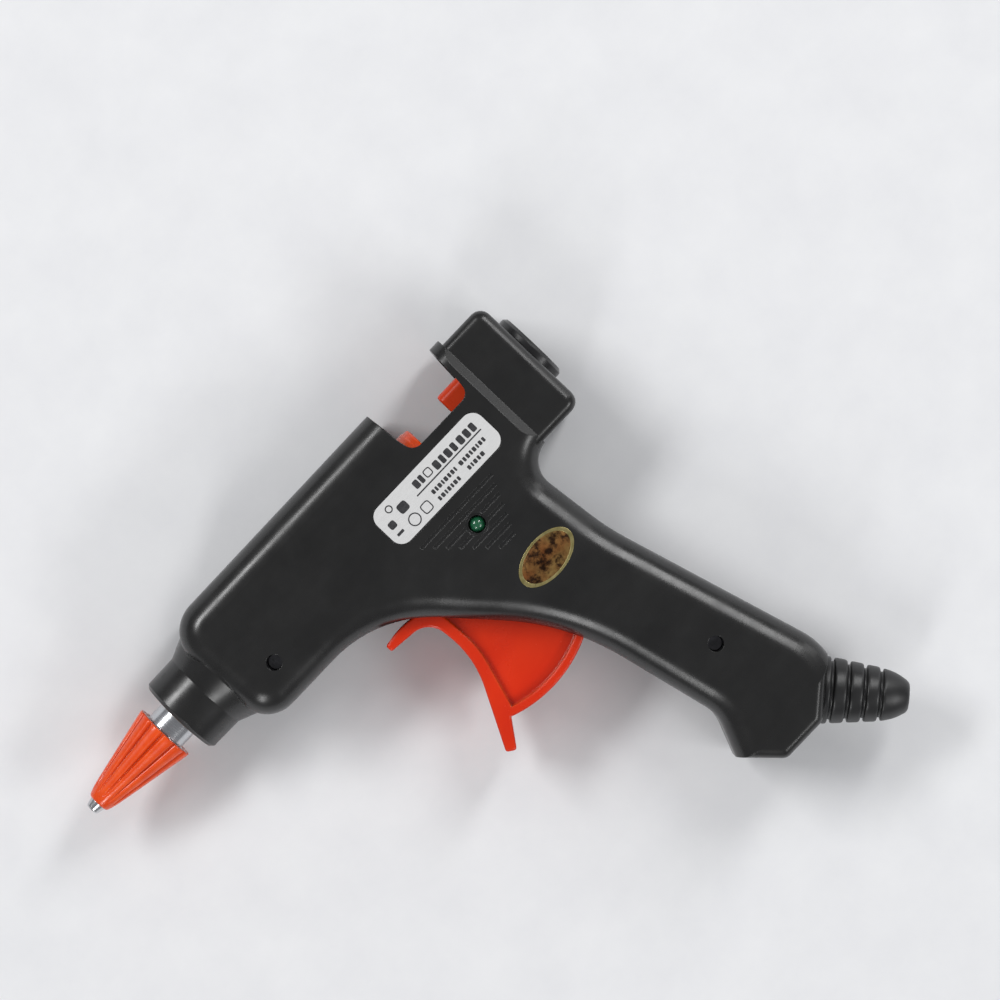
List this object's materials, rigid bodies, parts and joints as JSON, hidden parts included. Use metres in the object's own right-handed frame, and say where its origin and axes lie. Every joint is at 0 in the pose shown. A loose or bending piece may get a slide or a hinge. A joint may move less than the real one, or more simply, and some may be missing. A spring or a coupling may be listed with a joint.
{
  "type": "hot glue gun",
  "caption": "Small pistol-grip hot glue gun with a silicone-capped nozzle, a trigger that pushes the glue stick forward, a feed window and a ribbed cord strain relief.",
  "frame": {"origin": "on the flat right side the gun lies on, below the barrel's axis, 90 mm behind the nozzle station zero (90.7 mm behind the nozzle's tip)", "axes": "+X along the barrel from the nozzle towards the stick inlet, +Y from the grip towards the top of the barrel, +Z out of the surface it lies on, towards the left side"},
  "size_m": [0.1537, 0.1394, 0.0291],
  "materials": {
    "casing_black": "satin",
    "trigger_orange": "satin",
    "carriage_orange": "satin",
    "silicone_orange": "matte",
    "inlet_black": "satin",
    "aluminium": "satin",
    "nozzle_metal": "satin",
    "bush_fibre": "matte",
    "steel": "satin",
    "spring_steel": "satin",
    "zinc_steel": "polished",
    "ceramic": "satin",
    "contact_brass": "satin",
    "film_amber": "gloss",
    "lamp_green": "gloss",
    "board_green": "satin",
    "resistor_tan": "satin",
    "lead_brown": "satin",
    "lead_blue": "satin",
    "crimp_white": "satin",
    "boot_black": "matte",
    "plate_silver": "satin",
    "seal_gold": "gloss"
  },
  "bodies": {
    "gun": {"left_shell": "casing_black", "right_shell": "casing_black", "casing_screws": "zinc_steel", "cord_clamp": "inlet_black", "clamp_screws": "zinc_steel", "heating_chamber": "aluminium", "heating_tablets": "ceramic", "lower_electrode": "contact_brass", "upper_electrode": "contact_brass", "insulating_film": "film_amber", "heater_spring": "spring_steel", "nozzle": "nozzle_metal", "nozzle_cap": "silicone_orange", "neck_bush": "bush_fibre", "inlet_sleeve": "silicone_orange", "sleeve_clamp": "spring_steel", "stick_inlet_guide": "inlet_black", "trigger_pivot_pin": "steel", "return_spring": "spring_steel", "pilot_lamp": "lamp_green", "lamp_board": "board_green", "lamp_resistor": "resistor_tan", "live_lead": "lead_brown", "neutral_lead": "lead_blue", "crimp_caps": "crimp_white", "strain_relief": "boot_black", "rating_plate": "plate_silver", "oval_seal": "seal_gold"},
    "trigger_lever": {"trigger": "trigger_orange"},
    "carriage": {"feed_carriage": "carriage_orange", "drive_pin": "steel", "gripper_tooth": "steel"}
  },
  "joints": [
    {"name": "trigger_pull", "type": "hinge", "parent": "gun", "child": "trigger_lever", "pos_m": [0.005, -0.0258, 0.0145], "axis": [0, 0, 1], "range_deg": [0, 27], "stiffness_Nm_per_rad": 0.05, "springref_deg": -28.65},
    {"name": "carriage_feed", "type": "slide", "parent": "gun", "child": "carriage", "axis": [-1, 0, 0], "range_m": [0, 0.0065], "deforming": ["return_spring"]}
  ],
  "couplings": [
    {"joint": "carriage_feed", "follows": "trigger_pull", "m_per_rad": 0.013756}
  ]
}
